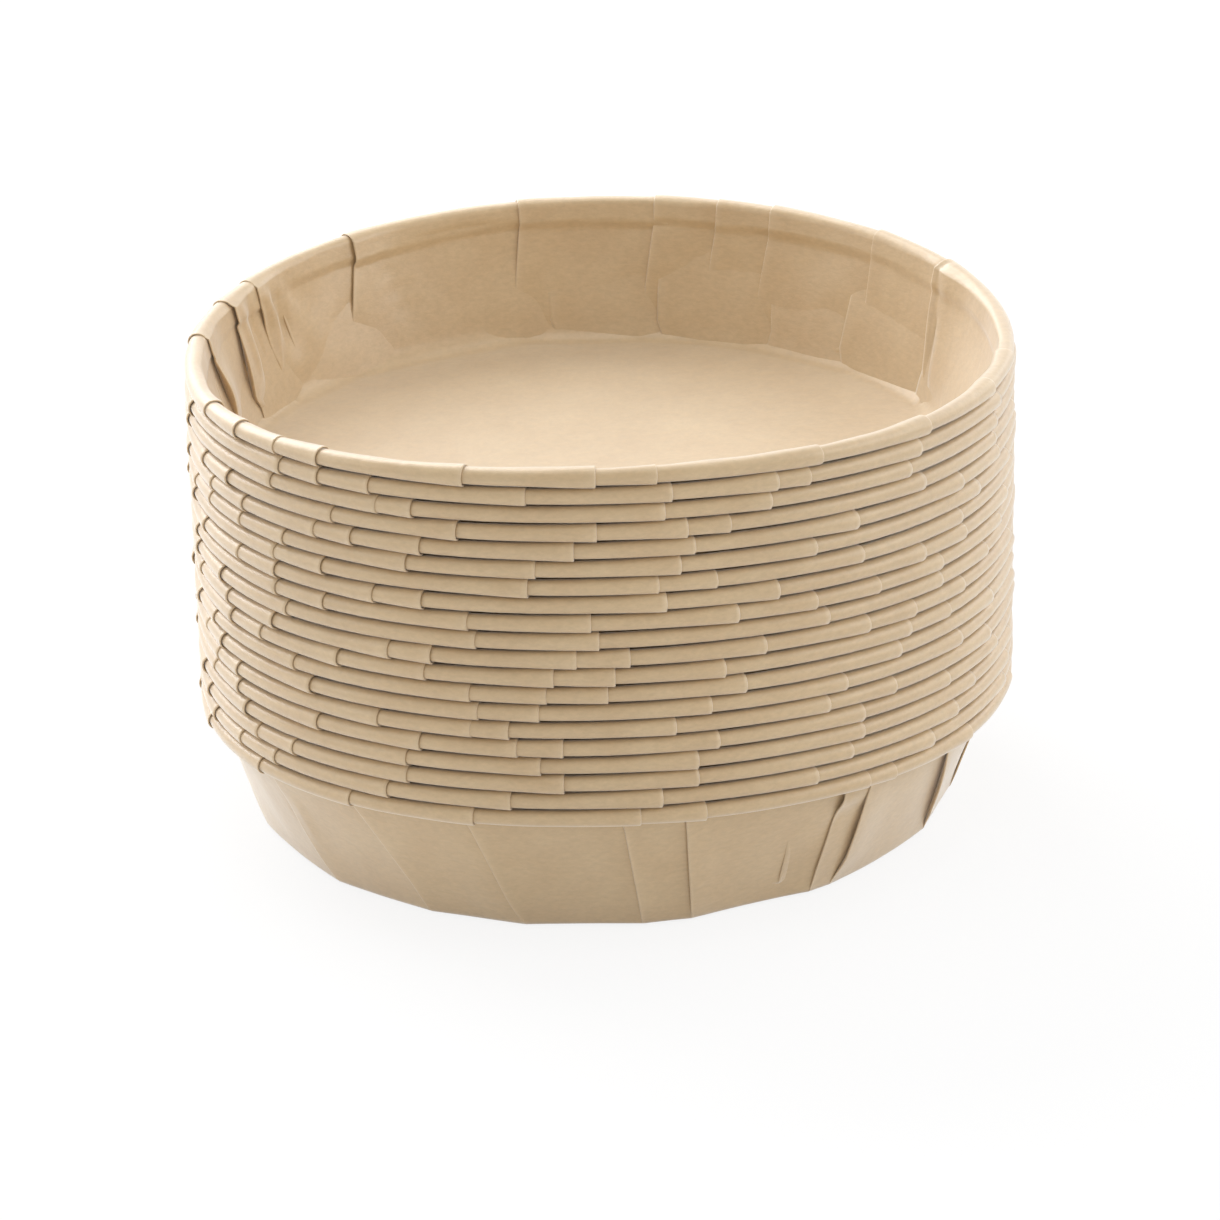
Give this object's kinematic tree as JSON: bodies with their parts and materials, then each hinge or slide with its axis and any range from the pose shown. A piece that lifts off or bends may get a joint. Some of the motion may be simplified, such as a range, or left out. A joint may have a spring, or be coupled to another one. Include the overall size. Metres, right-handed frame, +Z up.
{
  "type": "stack of paper tart liners",
  "caption": "Stack of nested round pleated paper baking liners with flat floors, flared walls and outward-rolled rims.",
  "frame": {"origin": "centre of the underside of the lowest liner's floor", "axes": "+Z up along the axis of the stack, the pictured front towards -Y"},
  "size_m": [0.1102, 0.1102, 0.0647],
  "materials": {
    "baking_paper": "unbleached, uncoated greaseproof paper with a faint sheen"
  },
  "bodies": {
    "root": {"liner_01": "baking_paper", "liner_02": "baking_paper", "liner_03": "baking_paper", "liner_04": "baking_paper", "liner_05": "baking_paper", "liner_06": "baking_paper", "liner_07": "baking_paper", "liner_08": "baking_paper", "liner_09": "baking_paper", "liner_10": "baking_paper", "liner_11": "baking_paper", "liner_12": "baking_paper", "liner_13": "baking_paper", "liner_14": "baking_paper", "liner_15": "baking_paper", "liner_16": "baking_paper", "liner_17": "baking_paper", "liner_18": "baking_paper", "liner_19": "baking_paper", "liner_20": "baking_paper"}
  },
  "joints": []
}
